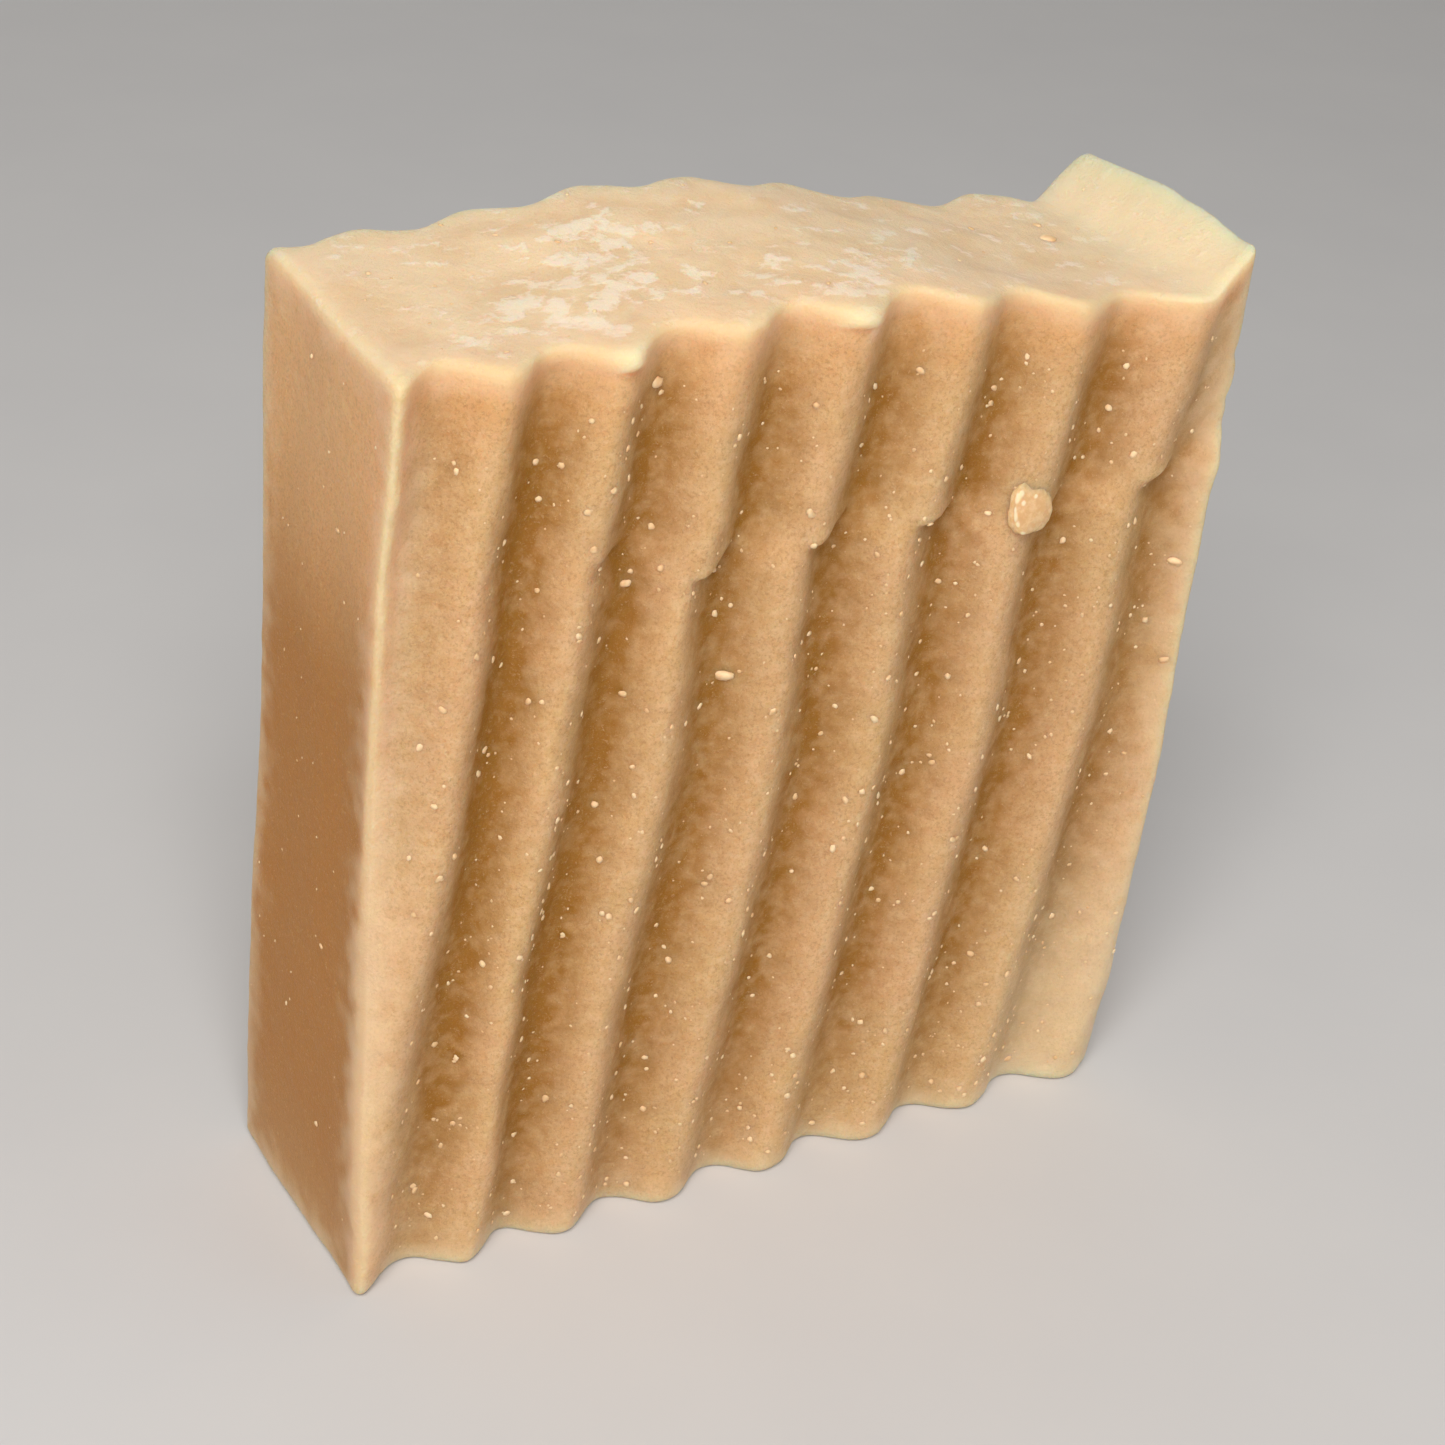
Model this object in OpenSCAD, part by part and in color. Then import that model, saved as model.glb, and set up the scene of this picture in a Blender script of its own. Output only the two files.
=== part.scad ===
// Hand-cut bar of natural soap: one casting, sliced with a crinkle cutter on its
// two broad faces, with the uneven surface of the pour on top. Crumbs and flakes
// that the cutter left behind sit on it as pieces of their own.
// +Z is up, the front crinkled face looks towards -Y, and +X is to its right.

/* [Bar] */
// Width of the bar, across the ridges
bar_w = 80; // [72:1:90]
// Thickness of the slice, from the front ridges to the back ridges
bar_t = 26; // [20:0.5:32]
// Height of the bar at its left end
bar_h = 87; // [80:1:96]

/* [Poured top] */
// Rise of the swell left of the middle
swell_rise = 2.2; // [0:0.1:3]
// Place of the swell along the width
swell_x = -9; // [-20:1:5]
// Reach of the swell to either side
swell_reach = 17; // [8:1:24]
// Fall of the top into the hollow near the right end
hollow_fall = 3.2; // [0:0.1:5]
// Place along the width where the fall begins
hollow_start = -2; // [-10:1:10]
// Length over which the top falls
hollow_length = 32; // [20:1:40]
// Rise of the lip at the right end above the hollow
lip_rise = 4.6; // [0:0.1:6]
// Width of the concave foot of the lip
lip_w = 9; // [4:0.5:12]

/* [Front crinkle cut] */
// Place of the first whole ridge at the top of the bar
front_ridge_x = -30; // [-34:0.5:-26]
// Distance from the first ridge to the next
front_pitch = 9.9; // [9:0.1:12]
// Growth of that distance with each ridge, from the swing of the hand
front_growth = 0.15; // [0:0.01:0.2]
// Depth of the front grooves below their ridges
front_depth = 2.8; // [1:0.1:4]
// Lean of the grooves above the line where the blade paused
upper_lean = 7; // [0:0.5:9]
// Lean of the grooves below that line
lower_lean = 5.5; // [0:0.5:9]
// Height of the line where the blade paused
pause_z = 66; // [50:1:76]
// Sideways step of the grooves at that line
pause_step = 1.3; // [0:0.1:3]

/* [Back crinkle cut] */
// Place of the first whole ridge of the back face
back_ridge_x = -31.5; // [-35:0.5:-26]
// Distance from one back ridge to the next
back_pitch = 10; // [9:0.1:12]
// Depth of the back grooves below their ridges
back_depth = 1.6; // [1:0.1:4]
// Lean of the back grooves
back_lean = 0.5; // [0:0.5:9]

/* [Crumbs] */
// Radius of the crumb pressed onto a front ridge
crumb_r = 2.3; // [1:0.1:3]
// Height that the crumb stands off the ridge
crumb_rise = 0.9; // [0.6:0.1:1.2]
// Radius of the largest stray flake
flake_r = 1.1; // [0.6:0.1:1.5]
// Height that the flakes stand off the bar
flake_rise = 0.4; // [0.3:0.1:0.8]

/* [Hidden] */
// Flat facets that round one whole wave
facets = 12;
// Straight stretches along the poured top
top_stretches = 60;
// Length that reaches past the bar in every direction
reach = 160;
// Waves drawn before the first ridge and after it
waves_before = 3;
waves_after = 10;
// Crumb's middle on the front face, as width and height
crumb_at = [19.8, 67.2];
// Flakes on the front face, as width, height and relative size
front_flakes = [[-8.1, 55.1, 1], [38, 57.7, 0.7], [-18.1, 65.5, 0.6], [-16.6, 82.4, 0.6]];
// Flakes on the poured top, as width, place from front to back and relative size
top_flakes = [[28.9, 0.6, 1]];
// Place of the front ridges under the pause, carried up to the top of the bar
lower_ridge_x = front_ridge_x - pause_step
    - (bar_h - pause_z) * (tan(upper_lean) - tan(lower_lean));
$fn = 32;

// A smooth change from 0 to 1 as t goes from 0 to 1
function ease(t) = let (c = min(max(t, 0), 1)) c * c * (3 - 2 * c);

// Height of the poured top at place x along the width
function top_z(x) =
    bar_h
    + swell_rise * exp(-pow((x - swell_x) / swell_reach, 2))
    - hollow_fall * ease((x - hollow_start) / hollow_length)
    + lip_rise * pow(max(0, (x - bar_w / 2 + lip_w) / lip_w), 2);

// Depth of a crinkle-cut face below its ridges, u counting whole waves
function wave_depth(u, depth) = depth * (1 - cos(360 * u)) / 2;

// Number of front waves from the first ridge to a point s along the row of ridges
function front_waves(s) = front_growth == 0
    ? s / front_pitch
    : (sqrt(front_pitch * front_pitch + 4 * front_growth * s) - front_pitch) / (2 * front_growth);

// Place of the front face from front to back, at width x and height z
function front_y(x, z) =
    let (
        above = z > pause_z,
        lean = above ? upper_lean : lower_lean,
        start = above ? front_ridge_x : lower_ridge_x,
        s = x * cos(lean) - (z - bar_h) * sin(lean) - start
    )
    wave_depth(front_waves(s), front_depth) - bar_t / 2;

// Front outline of the bar, as a slab with no crinkles yet
module slab() {
    half = bar_w / 2;
    top = [for (i = [0 : top_stretches]) let (x = half - bar_w * i / top_stretches) [x, top_z(x)]];
    rotate([90, 0, 0])
        linear_extrude(reach, center = true)
            polygon(concat([[-half, 0], [half, 0]], top));
}

// Everything behind a crinkle-cut face that looks towards -Y
module behind_cut(ridge_x, pitch, growth, depth, lean) {
    crest = -bar_t / 2;
    steps = [-waves_before * facets : waves_after * facets];
    edge = [for (i = steps) let (u = i / facets)
        [ridge_x + pitch * u + growth * u * u, crest + wave_depth(u, depth)]];
    translate([0, 0, bar_h])
        rotate([0, lean, 0])
            linear_extrude(2 * reach, center = true)
                polygon(concat(edge, [[reach, bar_t], [-reach, bar_t]]));
}

// Front face, cut in two strokes that meet where the blade paused
module front_cut() {
    intersection() {
        behind_cut(front_ridge_x, front_pitch, front_growth, front_depth, upper_lean);
        translate([-reach, -reach, pause_z]) cube(2 * reach);
    }
    intersection() {
        behind_cut(lower_ridge_x, front_pitch, front_growth, front_depth, lower_lean);
        translate([-reach, -reach, pause_z - 2 * reach]) cube(2 * reach);
    }
}

// Back face, cut in one stroke
module back_cut() {
    mirror([0, 1, 0])
        behind_cut(back_ridge_x, back_pitch, 0, back_depth, back_lean);
}

module whole_bar() {
    intersection() {
        slab();
        front_cut();
        back_cut();
    }
}

// A shallow dome of radius r, the cap of a ball, that rises from the origin along +Z
module dome(r, rise) {
    ball_r = (r * r + rise * rise) / (2 * rise);
    intersection() {
        translate([0, 0, rise - ball_r]) sphere(r = ball_r);
        cylinder(h = 2 * r, r = r, center = true);
    }
}

// A dome on the front crinkled face
module front_dome(x, z, r, rise) {
    translate([x, front_y(x, z), z]) rotate([90, 0, 0]) dome(r, rise);
}

module soap_bar() {
    color([0.85, 0.67, 0.47]) whole_bar();
}

module pressed_crumb() {
    color([0.9, 0.74, 0.55])
        difference() {
            front_dome(crumb_at[0], crumb_at[1], crumb_r, crumb_rise);
            whole_bar();
        }
}

module stray_flakes() {
    color([0.95, 0.85, 0.7])
        difference() {
            union() {
                for (f = front_flakes) front_dome(f[0], f[1], flake_r * f[2], flake_rise);
                for (f = top_flakes)
                    translate([f[0], f[1], top_z(f[0])]) dome(flake_r * f[2], flake_rise);
            }
            whole_bar();
        }
}

soap_bar();
pressed_crumb();
stray_flakes();
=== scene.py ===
import math

import bmesh
import bpy
import numpy as np
from mathutils import Matrix, Vector, noise


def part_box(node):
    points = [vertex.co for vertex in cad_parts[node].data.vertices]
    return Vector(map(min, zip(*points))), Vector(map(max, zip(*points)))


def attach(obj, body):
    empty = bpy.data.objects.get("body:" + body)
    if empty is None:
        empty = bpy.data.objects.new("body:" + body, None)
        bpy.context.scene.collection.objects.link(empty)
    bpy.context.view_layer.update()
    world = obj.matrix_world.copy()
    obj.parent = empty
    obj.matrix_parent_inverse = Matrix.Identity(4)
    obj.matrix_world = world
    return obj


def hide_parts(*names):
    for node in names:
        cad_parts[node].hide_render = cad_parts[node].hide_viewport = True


# A hand-cut bar of natural soap: crinkle-cut on its two broad faces, with the surface of the
# pour on top, a crumb pressed onto the front and flakes of soap left by the cutter.
# The shape is worked out in millimetres, in the CAD frame, and becomes metres in the meshes.
MM = 0.001

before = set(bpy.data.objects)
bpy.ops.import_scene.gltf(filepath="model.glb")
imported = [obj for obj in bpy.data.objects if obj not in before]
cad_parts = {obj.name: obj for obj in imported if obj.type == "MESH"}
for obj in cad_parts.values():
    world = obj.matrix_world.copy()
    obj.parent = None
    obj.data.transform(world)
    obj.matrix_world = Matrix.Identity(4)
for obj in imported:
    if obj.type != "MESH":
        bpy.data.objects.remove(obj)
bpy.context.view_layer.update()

bar_low, bar_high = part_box("soap_bar")
crumb_low, crumb_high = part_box("pressed_crumb")
WIDTH = (bar_high.x - bar_low.x) / MM
THICK = (bar_high.y - bar_low.y) / MM
# The CAD swell stands this far above the height of the bar's left end.
SWELL_RISE = 2.2
HEIGHT = bar_high.z / MM - SWELL_RISE
EDGE_R = 1.1
# Steps of the mesh round each edge.
BEND_STEPS = 3

# Front crinkles. The first ridge is given where it meets the lean's pivot height.
FIRST_RIDGE_X = -30.1
PITCH = 9.9
# Each wave is wider than the one before by twice this.
PITCH_GROWTH = 0.149
GROOVE = 2.8
# How far the middle of the painted shade in a groove lies from its deepest line, in waves.
GROOVE_SHADE_SIDE = 0.02
PIVOT_Z = 90.0
# Sideways run of the ridges for each millimetre of height.
LEAN = 0.13
# Below the pause the ridges stand to the left, run straight down, then lean again.
PAUSE_SHIFT = -4.8
LEAN_AGAIN_Z = 46.0
# How softly the straight run turns into the lean.
LEAN_AGAIN_BEND = 3.0
# Height of the pause on each ridge from the second to the seventh.
PAUSE_RIDGE_X = (-23.0, -12.3, -2.4, 8.4, 18.7, 30.7)
PAUSE_RIDGE_Z = (69.3, 65.7, 66.8, 67.1, 65.1, 67.6)

# The right end's front edge stands out above the pause, and the left end leans out below it.
RIGHT_FLARE = 1.4
LEFT_FLARE = 1.0
# Two nicks in the right end's front edge.
NICK_HEIGHTS = (77.0, 73.0)
NICK_DEPTH = 0.4

# Back crinkles.
BACK_RIDGE_X = -31.5
BACK_PITCH = 10.0
BACK_GROOVE = 1.6
BACK_LEAN = 0.009

# Colours fade into each other within this distance of an edge of the block.
FADE = 0.5
# White tongues of the top crust that hang over the front rim, as place and width.
RIM_TONGUES = ((-20.5, 1.4), (0.2, 1.9))
TONGUE_RISE = 0.5
# Where soda ash has bloomed on the top: x, y and reach of each patch.
ASH_BLOOMS = ((-24.0, -6.0, 7.0), (-15.0, -3.0, 6.0), (-17.0, 4.0, 5.0), (4.0, -8.0, 8.0))

# The pressed crumb: its radii across, up and out.
CRUMB_RADII = (2.1, 2.5, 0.62)
# White grains on it, as the direction from its middle, across, up and out, and the reach.
CRUMB_GRAINS = (
    ((-0.8, 0.5, 0.7), 0.20),
    ((-0.6, 0.65, 0.8), 0.13),
    ((-0.9, 0.05, 0.7), 0.12),
    ((-0.85, -0.2, 0.75), 0.16),
    ((-0.5, 0.3, 1.0), 0.10),
    ((-0.7, -0.5, 0.8), 0.10),
    ((-0.35, -0.75, 0.6), 0.12),
    ((0.1, 0.5, 1.0), 0.08),
)
FLAKE_SEED = 41


# ---------------------------------------------------------------- shape of the bar

def ease(t):
    """A smooth change from 0 to 1 as t goes from 0 to 1."""
    c = np.clip(t, 0.0, 1.0)
    return c * c * (3.0 - 2.0 * c)


def bell(t):
    """A smooth bump, 1 at 0 and almost 0 beyond 2 on either side."""
    return np.exp(-t * t)


def mix(a, b, t):
    """From a to b as t goes from 0 to 1."""
    return a + (b - a) * t


def rough(points, size, seed):
    """Smooth noise between about -1 and 1, with lumps of the given size, one value a point.
    Another seed gives another pattern."""
    size = np.broadcast_to(np.asarray(size, float), 3)
    shift = 17.3 * seed
    scaled = points / size + shift
    return np.array([noise.noise(Vector(p)) for p in scaled]) * 1.6


def top_height(x, y):
    """Height of the poured top above the height of the bar's left end."""
    back = (y + THICK / 2) / THICK
    swell = mix(1.0, 2.0, back) * bell((x - mix(-4.0, -9.0, back)) / 17.0)
    rear_rise = 1.1 * ease(back) * (1.0 - ease((x - 22.0) / 8.0))
    left_rise = 0.3 * ease((-x - 20.0) / 20.0)
    fall = mix(2.7, 3.6, back) * ease((x - mix(6.0, -2.0, back)) / mix(27.0, 30.0, back))
    # A low step leads up to the lip at the right end, which is highest just behind the middle.
    step = 1.1 * ease(back) * ease((x - 22.5) / 6.0) * (1.0 - ease((x - 30.0) / 6.0))
    lip_width = mix(5.5, 7.5, back)
    lip_rise = mix(3.6, 4.7, ease(back * 2.5)) + 0.5 * bell((y - 4.0) / 6.0)
    lip = lip_rise * np.clip((x - WIDTH / 2 + lip_width) / lip_width, 0.0, 1.0) ** 2
    return swell + rear_rise + left_rise + step + lip - fall


def waves(s):
    """Front waves from the first ridge to a place s along the row: each is a little wider."""
    return (np.sqrt(PITCH ** 2 + 4 * PITCH_GROWTH * s) - PITCH) / (2 * PITCH_GROWTH)


def hollow(u):
    """0 on the ridges, at whole waves, and 1 in the grooves between them."""
    return (1 - np.cos(2 * np.pi * u)) / 2


def wander(x, z):
    """How far the blade's marks stray sideways."""
    flat = np.stack([x, np.zeros_like(x), z], axis=1)
    return 0.22 * rough(flat, (3.0, 1.0, 4.5), 9) + 0.09 * rough(flat, (1.1, 1.0, 1.4), 10)


def front_face(x, z):
    """Depth of the front face behind the plane of its ridges, and how much painted shade the cut
    gets there: the shade is painted into each groove, a little to one side of its deepest line."""
    x = x + wander(x, z)
    upper_drift = -LEAN * (PIVOT_Z - z)
    below = LEAN_AGAIN_Z - z
    lean_again = (below + np.sqrt(below ** 2 + LEAN_AGAIN_BEND ** 2)) / 2
    # The ridges near the left end sway a little: right towards the pause, left lower down.
    first_ridge = 0.9 * ease((-24.0 - x) / 8.0)
    left_ridges = 1.3 * ease((-12.0 - x) / 8.0) * (np.clip(z - 40.0, 0.0, 26.0) / 26.0) ** 2
    left_bow = 0.9 * ease((-4.0 - x) / 14.0) * bell((z - 30.0) / 16.0)
    lower_drift = PAUSE_SHIFT - LEAN * lean_again + first_ridge + left_ridges - left_bow
    upper_waves = waves(x - FIRST_RIDGE_X - upper_drift)
    lower_waves = waves(x - FIRST_RIDGE_X - lower_drift)
    upper = GROOVE * hollow(upper_waves)
    lower = GROOVE * hollow(lower_waves)
    # Where the upper stroke stands proud it ends in a ledge, and elsewhere the strokes blend.
    # The ledges are crispest in the middle, and the last one fades out before the right edge.
    proud = lower - upper
    ledge = ease(proud / 0.5) * (1.0 - ease((x - 33.0) / 4.0))
    pause_z = np.interp(x, PAUSE_RIDGE_X, PAUSE_RIDGE_Z) + 0.55 * upper
    crisp = mix(0.95, 0.6, ease((x + 14.0) / 8.0)) + 1.8 * ease((x - 22.0) / 6.0)
    reach = mix(5.0, crisp, ledge)
    above = ease((z - pause_z) / reach + 0.5)
    burr = 0.15 * ledge * ease((x + 18.0) / 6.0) * bell((z - pause_z - 0.7) / 0.7)
    depth = mix(lower, upper, above) - burr
    # Towards the right end the blade ran shallow.
    shallow = mix(0.7, 1.3, ease((z - 56.0) / 16.0)) * ease((z - 28.0) / 14.0)
    depth = depth - shallow * ease((x - 31.0) / 9.0)
    # The bottom left corner flares towards the front, where the blade left the soap.
    depth = depth - 0.2 * ease((-34.0 - x) / 6.0) * ease((14.0 - z) / 12.0)
    # Painted shade: how much of it each place of the cut gets.
    groove_shade = mix(hollow(lower_waves + GROOVE_SHADE_SIDE), hollow(upper_waves + GROOVE_SHADE_SIDE), above)
    return depth, groove_shade


def back_hollow(x, z):
    """0 on the ridges of the back face and 1 in its grooves."""
    return hollow((x - BACK_RIDGE_X + BACK_LEAN * z) / BACK_PITCH)


def warp(p):
    """Real places of points that are given on the plain rounded block."""
    x0, y0, z0 = p.T
    back = (y0 + THICK / 2) / THICK
    below_top = HEIGHT - z0
    from_left = WIDTH / 2 + x0
    from_right = WIDTH / 2 - x0

    # The top: its swell fades out down the faces, and the pour is uneven.
    lift = ease(1 - below_top / 30.0)
    near_top = ease((2.2 - below_top) / 2.0)
    pour = 0.16 * rough(p, (9.0, 5.0, 9.0), 1) + 0.07 * rough(p, (2.6, 2.0, 2.6), 2)
    z = z0 + top_height(x0, y0) * lift + pour * near_top

    # The two cut faces, which the blade left a little rough.
    front, _ = front_face(x0, z0)
    for place, width in RIM_TONGUES:
        front = front - TONGUE_RISE * bell((x0 - place) / width) * ease((1.9 - below_top) / 0.5)
    drag = 0.10 * rough(p, 6.0, 3) + 0.035 * rough(p, 1.3, 4)
    y = y0 + (front + drag) * (1 - back) - (BACK_GROOVE * back_hollow(x0, z0) + drag) * back

    # The two ends.
    end_drag = 0.16 * rough(p, (9.0, 7.0, 16.0), 5) + 0.03 * rough(p, 1.5, 6)
    x = x0 + end_drag * np.sign(x0)
    right_edge = ease(1 - from_right / 1.2) * (1 - back)
    for nick_z in NICK_HEIGHTS:
        x = x - NICK_DEPTH * right_edge * bell((z0 - nick_z) / 0.8)
    x = x + RIGHT_FLARE * ease((z0 - 64.0) / 12.0) * ease(1 - from_right / 3.0) * (1 - back)
    x = x - LEFT_FLARE * ease((50.0 - z0) / 40.0) * ease(1 - from_left / 8.0)
    return np.stack([x, y, z], axis=1)


# ---------------------------------------------------------------- meshes

def stations(length, stretches):
    """Places of the grid lines along one side of the block, closer round its two edges.
    Each stretch is its end and its step."""
    angles = [math.radians(45.0) * i / BEND_STEPS for i in range(BEND_STEPS, 0, -1)]
    bend = [EDGE_R * (1 - math.tan(angle)) for angle in angles]
    lines = list(bend)
    start = EDGE_R
    for end, step in stretches:
        count = max(1, round((end - start) / step))
        lines += [start + (end - start) * i / count for i in range(count)]
        start = end
    lines.append(length - EDGE_R)
    lines += [length - b for b in reversed(bend)]
    return np.array(lines)


def block_grid():
    """A closed grid over the six sides of a block: its points and its four-sided faces.
    Points that two sides share are merged."""
    xs = stations(WIDTH, [(WIDTH - EDGE_R, 0.47)]) - WIDTH / 2
    ys = stations(THICK, [(THICK - EDGE_R, 0.6)]) - THICK / 2
    # The grid is finer round the pause and under the top rim.
    zs = stations(
        HEIGHT, [(62.0, 0.55), (72.5, 0.28), (HEIGHT - 4.0, 0.55), (HEIGHT - EDGE_R, 0.33)]
    )
    sides = [(xs, zs, 1, ys), (ys, zs, 0, xs), (xs, ys, 2, zs)]
    points = []
    faces = []
    start = 0
    for us, vs, axis, limits in sides:
        u, v = np.meshgrid(us, vs, indexing="ij")
        index = np.arange(u.size).reshape(u.shape)
        quads = np.stack(
            [index[:-1, :-1], index[1:, :-1], index[1:, 1:], index[:-1, 1:]], axis=-1
        ).reshape(-1, 4)
        for limit in (limits[0], limits[-1]):
            flat = np.insert(np.stack([u.ravel(), v.ravel()], axis=1), axis, limit, axis=1)
            points.append(flat)
            faces.append(quads + start)
            start += u.size
    points = np.concatenate(points)
    merged, where = np.unique(np.round(points, 5), axis=0, return_inverse=True)
    return merged, where.ravel()[np.concatenate(faces)]


def round_edges(p):
    """Moves the points of the block near its edges onto round edges."""
    half = np.array([WIDTH, THICK, HEIGHT]) / 2
    middle = np.array([0.0, 0.0, HEIGHT / 2])
    q = p - middle
    inner = np.clip(q, -half + EDGE_R, half - EDGE_R)
    out = q - inner
    length = np.linalg.norm(out, axis=1, keepdims=True)
    return inner + out / length * EDGE_R + middle


def make_object(name, points, faces, material):
    """A smooth-shaded mesh from points in millimetres, with its normals facing out."""
    mesh = bpy.data.meshes.new(name)
    mesh.from_pydata((points * MM).tolist(), [], [list(map(int, f)) for f in faces])
    mesh.update()
    made = bmesh.new()
    made.from_mesh(mesh)
    bmesh.ops.recalc_face_normals(made, faces=made.faces)
    made.to_mesh(mesh)
    made.free()
    mesh.shade_smooth()
    mesh.materials.append(material)
    piece = bpy.data.objects.new(name, mesh)
    bpy.context.scene.collection.objects.link(piece)
    return piece


def paint(piece, name, values):
    """Stores one number a point, which the material reads by name."""
    layer = piece.data.attributes.new(name, "FLOAT", "POINT")
    layer.data.foreach_set("value", np.asarray(values, np.float32))


def shares(grid):
    """How far each point belongs to the top, the front, the back and the ends, 0 to 1 each."""
    x, y, z = grid.T
    gaps = (HEIGHT - z, THICK / 2 + y, THICK / 2 - y, WIDTH / 2 - np.abs(x))
    return [ease(1.0 - gap / FADE) for gap in gaps]


def paint_top(bar, grid):
    """The poured top, and the patches of soda ash on it."""
    x, y, _ = grid.T
    on_top = shares(grid)[0]
    blooms = [bell(np.hypot(x - a, 1.6 * (y - b)) / reach) for a, b, reach in ASH_BLOOMS]
    paint(bar, "top", on_top)
    paint(bar, "ash", on_top * np.clip(np.sum(blooms, axis=0), 0.0, 1.0))


def paint_edges(bar, grid, jagged):
    """Painted light along the ragged edges, a highlight with glow through the thin soap, and the
    front rim of the top, which gets less of it and is less pale.
    """
    _, y, z = grid.T
    gap = WIDTH / 2 - np.abs(grid[:, 0]), THICK / 2 - np.abs(y), np.minimum(z, HEIGHT - z)
    # The nearest side's gap comes first, and the next is the distance from the nearest edge.
    from_edge = np.sort(gap, axis=0)[1]
    # Painted highlight and glow along the edges.
    edge = 0.15 * bell(from_edge / jagged) + 0.85 * bell(from_edge / (2.4 * jagged))
    rim = bell((THICK / 2 + y) / 1.2) * bell((HEIGHT - z) / 1.2)
    paint(bar, "edge", edge * (1.0 - 0.6 * rim))
    paint(bar, "rim", rim * np.clip(0.8 + 0.3 * rough(grid, 3.0, 8), 0.0, 1.0))


def paint_ends(bar, grid):
    """The ends painted darker and browner, most on the left, partly browner soap and partly painted
    shade; and a painted glow below the crust and on the ends' upper part.
    """
    x, _, z = grid.T
    _, on_front, _, on_end = shares(grid)
    # Painted shade on the ends, partly browner soap: it fades towards the top, where light comes
    # through, and a little towards the foot.
    side = 1.0 - 0.9 * ease((z - 54.0) / 30.0) - 0.25 * ease((16.0 - z) / 16.0)
    # A painted glow of light coming in through the top: a band below the crust on the front, and the
    # ends' upper part.
    below_crust = 0.75 * on_front * bell((HEIGHT - z) / 5.0)
    paint(bar, "side", on_end * side * np.where(x < 0.0, 1.0, 0.35))
    paint(bar, "top_glow", below_crust + on_end * ease((z - 56.0) / 20.0))


def paint_groove_shade(bar, grid):
    """Painted shade in the grooves of the front and the back. It fades towards the ends and the
    rims.
    """
    x, _, z = grid.T
    _, on_front, on_back, _ = shares(grid)
    _, groove_shade = front_face(x, z)
    away_from_ends = ease((x + 39.0) / 8.0) * mix(1.0, 0.6, ease((x - 30.0) / 10.0))
    away_from_top = mix(0.45, 1.0, ease((HEIGHT - z) / 8.0))
    away_from_foot = mix(0.5, 1.0, ease(z / 22.0))
    left_is_darker = mix(1.25, 1.0, ease((x + 30.0) / 22.0))
    # Painted shade in the grooves of the front, and less in those of the back.
    front_groove_shade = groove_shade * away_from_ends * away_from_top * away_from_foot * left_is_darker
    paint(bar, "groove_shade", on_front * front_groove_shade + 0.6 * on_back * back_hollow(x, z))


def paint_pale(bar, grid, jagged):
    """Pale soap on the lip, the front's lower right corner and the tongues, and painted light on the
    ends' upper part.
    """
    x, y, z = grid.T
    on_top, on_front, _, on_end = shares(grid)
    tongues = 0.0
    for place, width in RIM_TONGUES:
        tongue = bell((x - place) / width) * bell((THICK / 2 + y) / 1.5)
        tongues = tongues + tongue * ease((2.0 * jagged - (HEIGHT - z)) / 0.5)
    lip = on_top * ease((x - 29.0) / 6.0)
    corner = on_front * ease((x - 20.0) / 16.0) * ease((36.0 - z) / 26.0)
    # Painted light on the ends' upper part, where light comes in through the top.
    ends = on_end * ease((z - 62.0) / 20.0)
    pale = 0.6 * lip + 0.4 * corner + 0.1 * ends + 0.6 * tongues
    paint(bar, "pale", np.clip(pale, 0.0, 1.0))


def build_bar(material):
    """The bar, with one painted number a point for each look that its material mixes."""
    grid, faces = block_grid()
    bar = make_object("crinkle_cut_bar", warp(round_edges(grid)), faces, material)
    jagged = 1.0 + 0.45 * rough(grid, 1.7, 7)
    paint_top(bar, grid)
    paint_edges(bar, grid, jagged)
    paint_ends(bar, grid)
    paint_groove_shade(bar, grid)
    paint_pale(bar, grid, jagged)
    return bar


def seats(block_points):
    """Places on the bar and the directions out of it, for points on the plain block.
    The directions come from the slope of the bar between points a small step apart."""
    half = np.array([WIDTH, THICK, HEIGHT]) / 2
    q = block_points - [0.0, 0.0, HEIGHT / 2]
    side = np.argmax(np.abs(q) / half, axis=1)
    outward = np.zeros_like(q)
    rows = np.arange(len(q))
    outward[rows, side] = np.sign(q[rows, side])
    step = 0.25
    along_a = np.roll(np.abs(outward), 1, axis=1) * step
    along_b = np.cross(outward, along_a)
    place = warp(block_points)
    slope_a = warp(block_points + along_a) - warp(block_points - along_a)
    slope_b = warp(block_points + along_b) - warp(block_points - along_b)
    normal = np.cross(slope_a, slope_b)
    normal /= np.linalg.norm(normal, axis=1, keepdims=True)
    flip = np.sign(np.sum(normal * outward, axis=1, keepdims=True))
    return place, normal * flip


def unit_ball(subdivisions):
    """A ball of radius 1: its points and its three-sided faces."""
    ball = bmesh.new()
    bmesh.ops.create_icosphere(ball, subdivisions=subdivisions, radius=1.0)
    points = np.array([v.co for v in ball.verts])
    faces = np.array([[v.index for v in f.verts] for f in ball.faces])
    ball.free()
    return points, faces


def lump(ball, place, normal, turn, radii, lumpiness, seed):
    """A ball flattened onto the bar: radii are across, along and off the surface."""
    shape = ball * (1.0 + lumpiness * rough(ball, 0.8, seed))[:, None]
    shape = shape * np.array(radii)
    across = np.cross(normal, [0.0, 0.0, 1.0])
    if np.linalg.norm(across) < 0.1:
        across = np.array([1.0, 0.0, 0.0])
    across = across / np.linalg.norm(across)
    along = np.cross(normal, across)
    a = across * math.cos(turn) + along * math.sin(turn)
    b = along * math.cos(turn) - across * math.sin(turn)
    return place + shape @ np.stack([a, b, normal])


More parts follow.
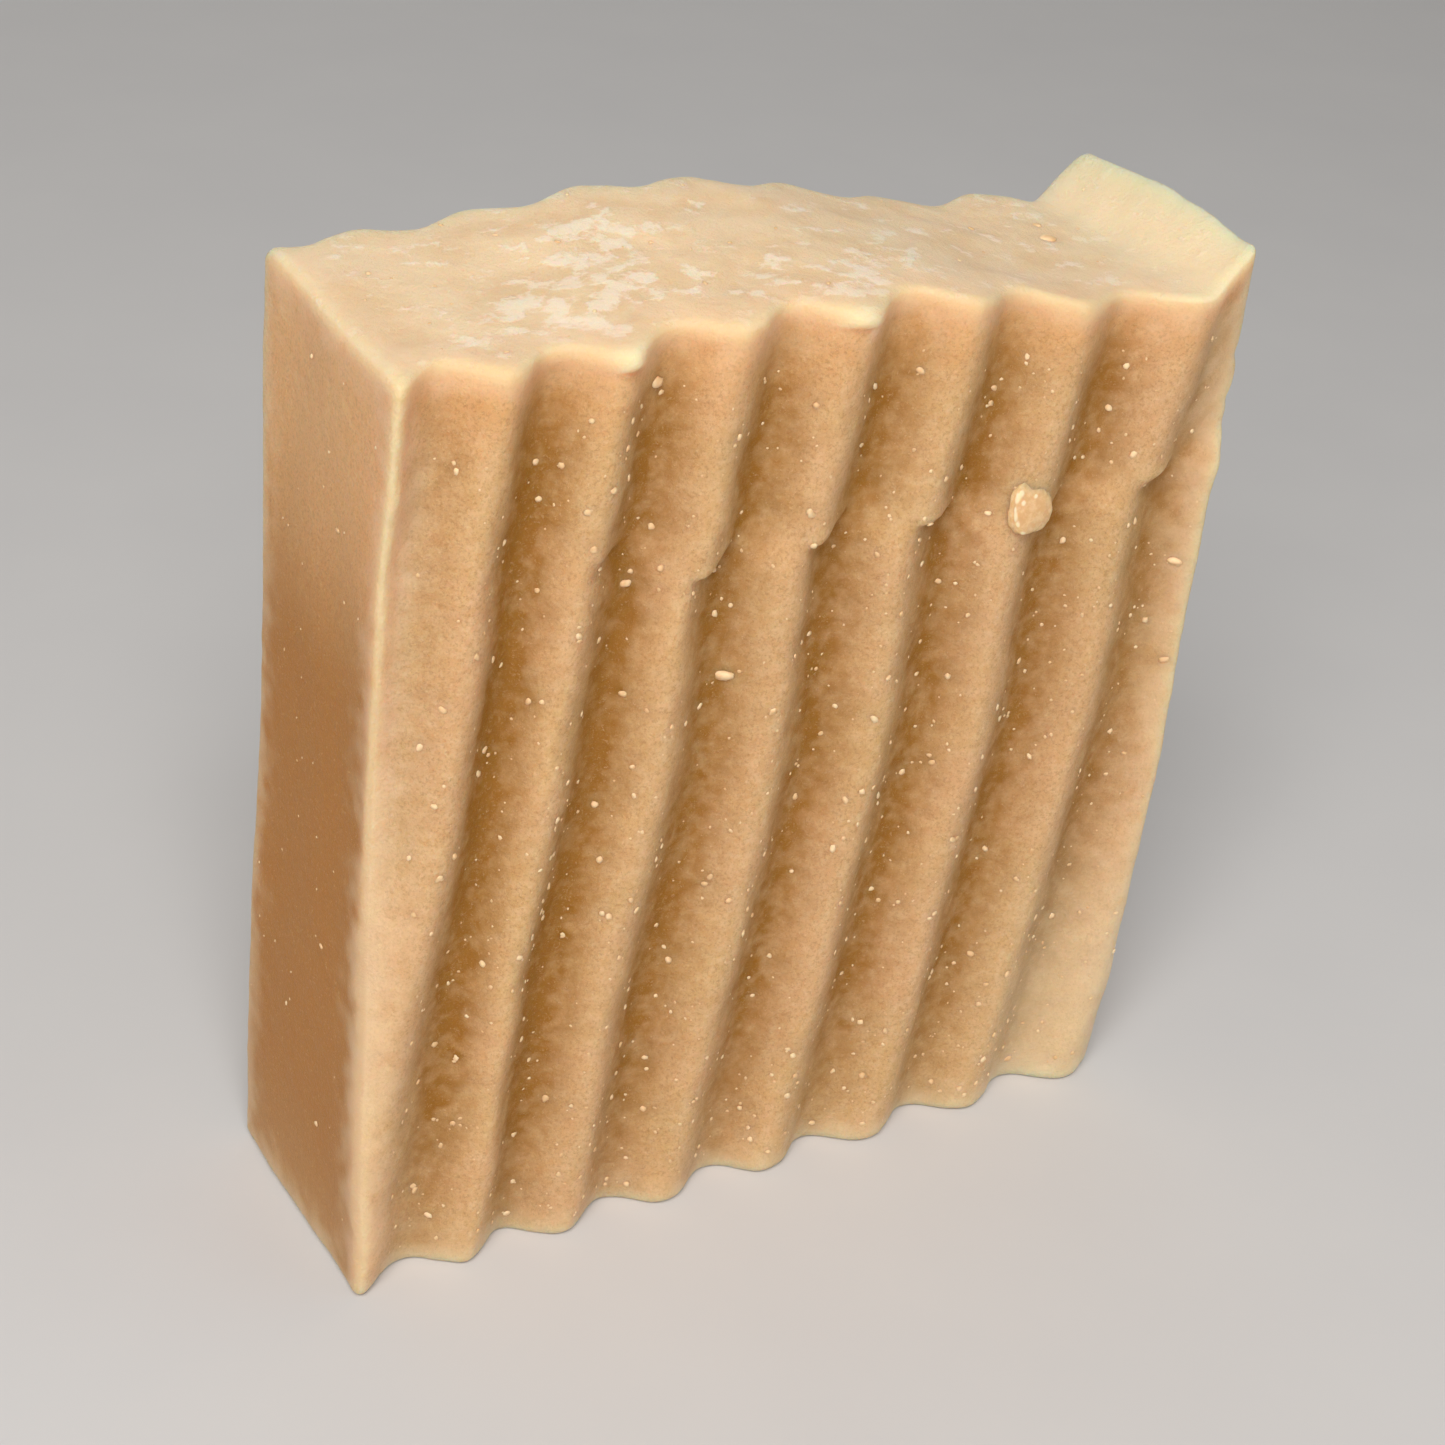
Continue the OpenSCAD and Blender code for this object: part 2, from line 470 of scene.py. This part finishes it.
def join(lumps, faces):
    """Several lumps of the same ball as one list of points and one of faces."""
    count = len(lumps[0])
    all_faces = np.concatenate([faces + i * count for i in range(len(lumps))])
    return np.concatenate(lumps), all_faces


def build_crumb(material):
    """One rounded lump with a few grains of white crust raised on its left side."""
    ball, faces = unit_ball(5)
    middle = (crumb_low + crumb_high) / 2 / MM
    crust = np.zeros(len(ball))
    for grain, reach in CRUMB_GRAINS:
        towards = np.array(grain) / np.linalg.norm(grain)
        crust = np.maximum(crust, bell(np.linalg.norm(ball - towards, axis=1) / reach))
    bumpy = 0.13 * rough(ball, 0.9, 21) + 0.05 * rough(ball, 0.25, 22)
    shape = ball * (1.0 + bumpy + 0.1 * crust)[:, None] * CRUMB_RADII
    # Its upper end sinks into the ridge, and its lower end stands proud.
    shape[:, 2] -= 0.14 * shape[:, 1] + 0.1
    place, normal = seats(np.array([[middle.x, -THICK / 2, middle.z]]))
    out = mix(normal[0], np.array([0.0, -1.0, 0.0]), 0.6)
    out = out / np.linalg.norm(out)
    up = np.array([0.0, 0.0, 1.0]) - out * out[2]
    up = up / np.linalg.norm(up)
    across = np.cross(up, -out)
    points = place[0] + shape @ np.stack([-across, up, out])
    crumb = make_object("pressed_crumb_lump", points, faces, material)
    paint(crumb, "crust", crust)
    return crumb


def build_flakes(material):
    """The larger stray flakes one by one, and a dust of small specks from seeded random draws."""
    draw = np.random.default_rng(FLAKE_SEED)
    front = -THICK / 2
    top = HEIGHT
    # The place of each larger flake on the block, and its radii across, along and out.
    placed = [
        ((-8.1, front, 55.1), (0.95, 0.42, 0.35)),
        ((38.0, front, 57.7), (0.75, 0.35, 0.35)),
        ((-18.1, front, 65.5), (0.5, 0.4, 0.3)),
        ((-16.6, front, 82.4), (0.55, 0.5, 0.3)),
        ((28.9, 0.6, top), (0.5, 0.95, 0.3)),
    ]
    block = [place for place, _ in placed]
    radii = [size for _, size in placed]
    turns = [0.0] * len(placed)
    # How many specks lie on each side, and where two random numbers put a speck.
    dusty_sides = (
        (1100, lambda a, b: (mix(-37.0, 39.0, a), front, mix(2.0, 82.0, b ** 1.25))),
        (60, lambda a, b: (mix(-38.0, 38.0, a), mix(-11.5, 11.5, b), top)),
        (40, lambda a, b: (-WIDTH / 2, mix(-11.0, 11.5, a), mix(2.0, 84.0, b))),
        (30, lambda a, b: (WIDTH / 2, mix(-11.0, 11.5, a), mix(2.0, 84.0, b))),
        (150, lambda a, b: (mix(-38.0, 38.0, a), -front, mix(2.0, 84.0, b))),
    )
    for count, place in dusty_sides:
        for _ in range(count):
            block.append(place(draw.random(), draw.random()))
            # Most specks are small.
            size = 0.09 + 0.22 * draw.random() ** 3
            radii.append((size * mix(0.9, 1.5, draw.random()), size, size * 0.5))
            turns.append(draw.random() * math.pi)
    ball, faces = unit_ball(2)
    places, normals = seats(np.array(block))
    lumps = [
        lump(ball, places[i], normals[i], turns[i], radii[i], 0.3, i)
        for i in range(len(block))
    ]
    points, all_faces = join(lumps, faces)
    return make_object("stray_flakes_and_specks", points, all_faces, material)


# ---------------------------------------------------------------- materials

class Nodes:
    """Short names for the few shader nodes that the materials here use."""

    def __init__(self, name):
        self.material = bpy.data.materials.new(name)
        self.material.use_nodes = True
        self.tree = self.material.node_tree
        self.shader = self.tree.nodes["Principled BSDF"]
        place = self.tree.nodes.new("ShaderNodeTexCoord").outputs["Object"]
        self.place = self.scaled(place, (1 / MM, 1 / MM, 1 / MM))

    def link(self, value, socket):
        if isinstance(value, bpy.types.NodeSocket):
            self.tree.links.new(value, socket)
        else:
            socket.default_value = value

    def scaled(self, place, scale):
        node = self.tree.nodes.new("ShaderNodeVectorMath")
        node.operation = "MULTIPLY"
        self.link(place, node.inputs[0])
        self.link(scale, node.inputs[1])
        return node.outputs["Vector"]

    def math(self, operation, a, b, clamp=False):
        node = self.tree.nodes.new("ShaderNodeMath")
        node.operation = operation
        node.use_clamp = clamp
        self.link(a, node.inputs[0])
        self.link(b, node.inputs[1])
        return node.outputs[0]

    def lumps(self, size, detail=3.0, roughness=0.55, stretch=(1.0, 1.0, 1.0)):
        """Noise between 0 and 1 with lumps of the given size in millimetres."""
        node = self.tree.nodes.new("ShaderNodeTexNoise")
        place = self.scaled(self.place, tuple(1.0 / s for s in stretch))
        self.link(place, node.inputs["Vector"])
        self.link(1.0 / size, node.inputs["Scale"])
        self.link(detail, node.inputs["Detail"])
        self.link(roughness, node.inputs["Roughness"])
        return node.outputs["Fac"]

    def between(self, value, low, high, out_low=0.0, out_high=1.0):
        """Maps low..high to out_low..out_high, smoothly, and holds it there outside."""
        node = self.tree.nodes.new("ShaderNodeMapRange")
        node.interpolation_type = "SMOOTHSTEP"
        for socket, number in zip(node.inputs, (value, low, high, out_low, out_high)):
            self.link(number, socket)
        return node.outputs["Result"]

    def painted(self, name):
        node = self.tree.nodes.new("ShaderNodeAttribute")
        node.attribute_name = name
        return node.outputs["Fac"]

    def blend(self, share, a, b):
        node = self.tree.nodes.new("ShaderNodeMix")
        node.data_type = "RGBA"
        self.link(share, node.inputs["Factor"])
        self.link(a, node.inputs["A"])
        self.link(b, node.inputs["B"])
        return node.outputs["Result"]

    def bump(self, height, distance_mm, strength, under=None):
        node = self.tree.nodes.new("ShaderNodeBump")
        self.link(height, node.inputs["Height"])
        self.link(distance_mm * MM, node.inputs["Distance"])
        self.link(strength, node.inputs["Strength"])
        if under is not None:
            self.link(under, node.inputs["Normal"])
        return node.outputs["Normal"]

    def finish(self, colour, roughness, normal, glow, glow_mm):
        """Fills in the shader. Glow is the share of light that passes through the surface."""
        self.link(colour, self.shader.inputs["Base Color"])
        self.link(roughness, self.shader.inputs["Roughness"])
        self.link(normal, self.shader.inputs["Normal"])
        self.shader.inputs["Subsurface Weight"].default_value = glow
        self.shader.inputs["Subsurface Radius"].default_value = (1.0, 0.55, 0.3)
        self.shader.inputs["Subsurface Scale"].default_value = glow_mm * MM
        self.shader.inputs["Specular IOR Level"].default_value = 0.35
        return self.material


def srgb(red, green, blue):
    """A colour given as on screen, 0 to 255, as the linear values that a shader takes."""
    linear = []
    for level in (red / 255, green / 255, blue / 255):
        low = level <= 0.04045
        linear.append(level / 12.92 if low else ((level + 0.055) / 1.055) ** 2.4)
    return (*linear, 1.0)


def soap_material():
    """Honey-coloured soap where it is cut, and a pale crust with soda ash on top."""
    n = Nodes("cut_soap")
    # The cut faces: mottled, darker with painted shade in the grooves, with pores and pale crystals.
    honey = n.blend(
        n.between(n.lumps(14.0), 0.35, 0.65), srgb(218, 175, 129), srgb(214, 175, 123)
    )
    mottled = n.blend(
        n.between(n.lumps(1.1, 5.0, 0.75), 0.4, 0.66, 0.0, 0.4), honey, srgb(238, 208, 166)
    )
    # Painted shade in the grooves, made patchy.
    patchy = n.between(n.lumps(1.6, 6.0, 0.72), 0.3, 0.7, 0.55, 1.25)
    groove_shade = n.math("MULTIPLY", n.painted("groove_shade"), patchy, clamp=True)
    cut = n.blend(groove_shade, mottled, srgb(162, 108, 26))
    # The ends darker and browner: partly browner soap, partly painted shade.
    cut = n.blend(n.painted("side"), cut, srgb(184, 122, 50))
    # Painted glow of light that comes in through the top.
    cut = n.blend(n.math("MULTIPLY", n.painted("top_glow"), 0.7), cut, srgb(232, 170, 108))
    pores = n.between(n.lumps(0.32, 4.0, 0.8), 0.46, 0.68, 0.0, 0.45)
    cut = n.blend(pores, cut, srgb(160, 112, 56))
    crystals = n.between(n.lumps(0.4, 5.0, 0.9), 0.52, 0.7, 0.0, 0.4)
    cut = n.blend(crystals, cut, srgb(246, 214, 170))

    # The poured top.
    crust = n.blend(
        n.between(n.lumps(5.0, 5.0, 0.6), 0.4, 0.65), srgb(242, 214, 176), srgb(234, 202, 160)
    )
    ash_field = n.lumps(2.2, 5.0, 0.62, stretch=(1.25, 1.0, 1.0))
    ash_field = n.math("ADD", ash_field, n.math("MULTIPLY", n.painted("ash"), 0.13))
    ash = n.between(ash_field, 0.56, 0.66, 0.0, 0.8)
    crust = n.blend(ash, crust, srgb(254, 232, 208))

    # Both together, with the painted light along the edges, the rim and the pale places.
    top = n.painted("top")
    colour = n.blend(top, cut, crust)
    # Painted highlight and glow along the edges.
    edge = n.math("MULTIPLY", n.painted("edge"), 0.7)
    colour = n.blend(edge, colour, srgb(240, 212, 174))
    colour = n.blend(n.painted("rim"), colour, srgb(232, 202, 160))
    # Pale places; on the ends' upper part this is painted light.
    colour = n.blend(n.painted("pale"), colour, srgb(248, 230, 194))

    grain = n.lumps(0.4, 4.0, 0.75)
    chalk = n.math("MULTIPLY", ash, top)
    roughness = n.math("ADD", n.between(grain, 0.3, 0.7, 0.42, 0.6), n.math("MULTIPLY", chalk, 0.25))
    normal = n.bump(n.lumps(1.6, 4.0, 0.6), 0.2, 0.7)
    normal = n.bump(grain, 0.16, 0.9, under=normal)
    normal = n.bump(chalk, 0.12, 0.8, under=normal)
    return n.finish(colour, roughness, normal, glow=0.9, glow_mm=4.0)


def crumb_material():
    """Pinkish soap with white grains."""
    n = Nodes("pressed_crumb_soap")
    pink = n.blend(
        n.between(n.lumps(0.6, 5.0, 0.7), 0.4, 0.65), srgb(222, 178, 128), srgb(234, 196, 150)
    )
    crust = n.between(n.painted("crust"), 0.2, 0.7)
    colour = n.blend(crust, pink, srgb(246, 222, 186))
    grain = n.lumps(0.3, 3.0, 0.7)
    roughness = n.between(grain, 0.3, 0.7, 0.45, 0.65)
    normal = n.bump(grain, 0.06, 0.8)
    return n.finish(colour, roughness, normal, glow=0.8, glow_mm=1.6)


def flake_material():
    """Pale, dry soap. Its glow is short, because a longer one turns such small specks grey."""
    n = Nodes("flake_soap")
    colour = n.blend(
        n.between(n.lumps(1.5), 0.35, 0.65), srgb(226, 186, 138), srgb(244, 214, 172)
    )
    grain = n.lumps(0.2, 2.0, 0.6)
    roughness = n.between(grain, 0.3, 0.7, 0.4, 0.6)
    normal = n.bump(grain, 0.03, 0.7)
    return n.finish(colour, roughness, normal, glow=0.3, glow_mm=0.25)


def floor_material():
    """A plain grey in place of the towel."""
    n = Nodes("pale_floor")
    colour = n.blend(n.lumps(30.0), srgb(206, 206, 208), srgb(212, 212, 213))
    n.link(colour, n.shader.inputs["Base Color"])
    n.shader.inputs["Roughness"].default_value = 0.8
    return n.material


# ---------------------------------------------------------------- camera, light and floor

def direction(azimuth, elevation):
    """The way out from the bar: azimuth 0 is its front, and 90 is its right end."""
    a = math.radians(azimuth)
    e = math.radians(elevation)
    return Vector((math.sin(a) * math.cos(e), -math.cos(a) * math.cos(e), math.sin(e)))


def stand(data, aim, towards, distance, roll=0.0):
    """Puts a camera or a lamp at a distance from the aim, looking at it."""
    thing = bpy.data.objects.new(data.name, data)
    turn = towards.to_track_quat("Z", "Y").to_matrix().to_4x4()
    seen = turn @ Matrix.Rotation(math.radians(roll), 4, "Z")
    thing.matrix_world = Matrix.Translation(aim + towards * distance) @ seen
    bpy.context.scene.collection.objects.link(thing)
    return thing


def make_camera():
    """The camera looks at a point near the middle of the bar, turned a little about its axis."""
    data = bpy.data.cameras.new("camera")
    data.sensor_width = 36.0
    data.lens = 72.5
    data.clip_start = 0.01
    data.clip_end = 20.0
    aim = Vector((4.1, 7.4, 37.4)) * MM
    camera = stand(data, aim, direction(-33.14, 31.04), 270.1 * MM, roll=5.99)
    bpy.context.scene.camera = camera


def make_light(name, azimuth, elevation, distance, size, power, colour):
    """A square lamp aimed at the middle of the bar. Distance and size are in metres."""
    data = bpy.data.lights.new(name, "AREA")
    data.size = size
    data.energy = power
    data.color = colour
    stand(data, Vector((0.0, 0.0, HEIGHT / 2 * MM)), direction(azimuth, elevation), distance)


def make_studio():
    make_light("key", -36.0, 46.0, 0.7, 0.4, 5.0, (1.0, 0.97, 0.93))
    make_light("fill", 50.0, 30.0, 0.9, 0.8, 0.5, (0.95, 0.97, 1.0))
    make_light("back_fill", 165.0, 14.0, 0.9, 0.8, 1.0, (1.0, 0.98, 0.95))
    world = bpy.data.worlds.new("studio")
    world.use_nodes = True
    background = world.node_tree.nodes["Background"]
    background.inputs["Color"].default_value = (1.0, 0.96, 0.9, 1.0)
    background.inputs["Strength"].default_value = 0.22
    bpy.context.scene.world = world
    bpy.context.scene.view_settings.view_transform = "Standard"

    bpy.ops.mesh.primitive_plane_add(size=6.0, location=(0.0, 0.0, 0.0))
    floor = bpy.context.object
    floor.name = "floor"
    floor.data.materials.append(floor_material())


# ---------------------------------------------------------------- the scene

make_camera()
make_studio()

pieces = (
    (build_bar(soap_material()), "soap_bar", "soap"),
    (build_crumb(crumb_material()), "pressed_crumb", "crumb"),
    (build_flakes(flake_material()), "stray_flakes", "flake"),
)
for piece, node, slot in pieces:
    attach(piece, "root")
    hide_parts(node)
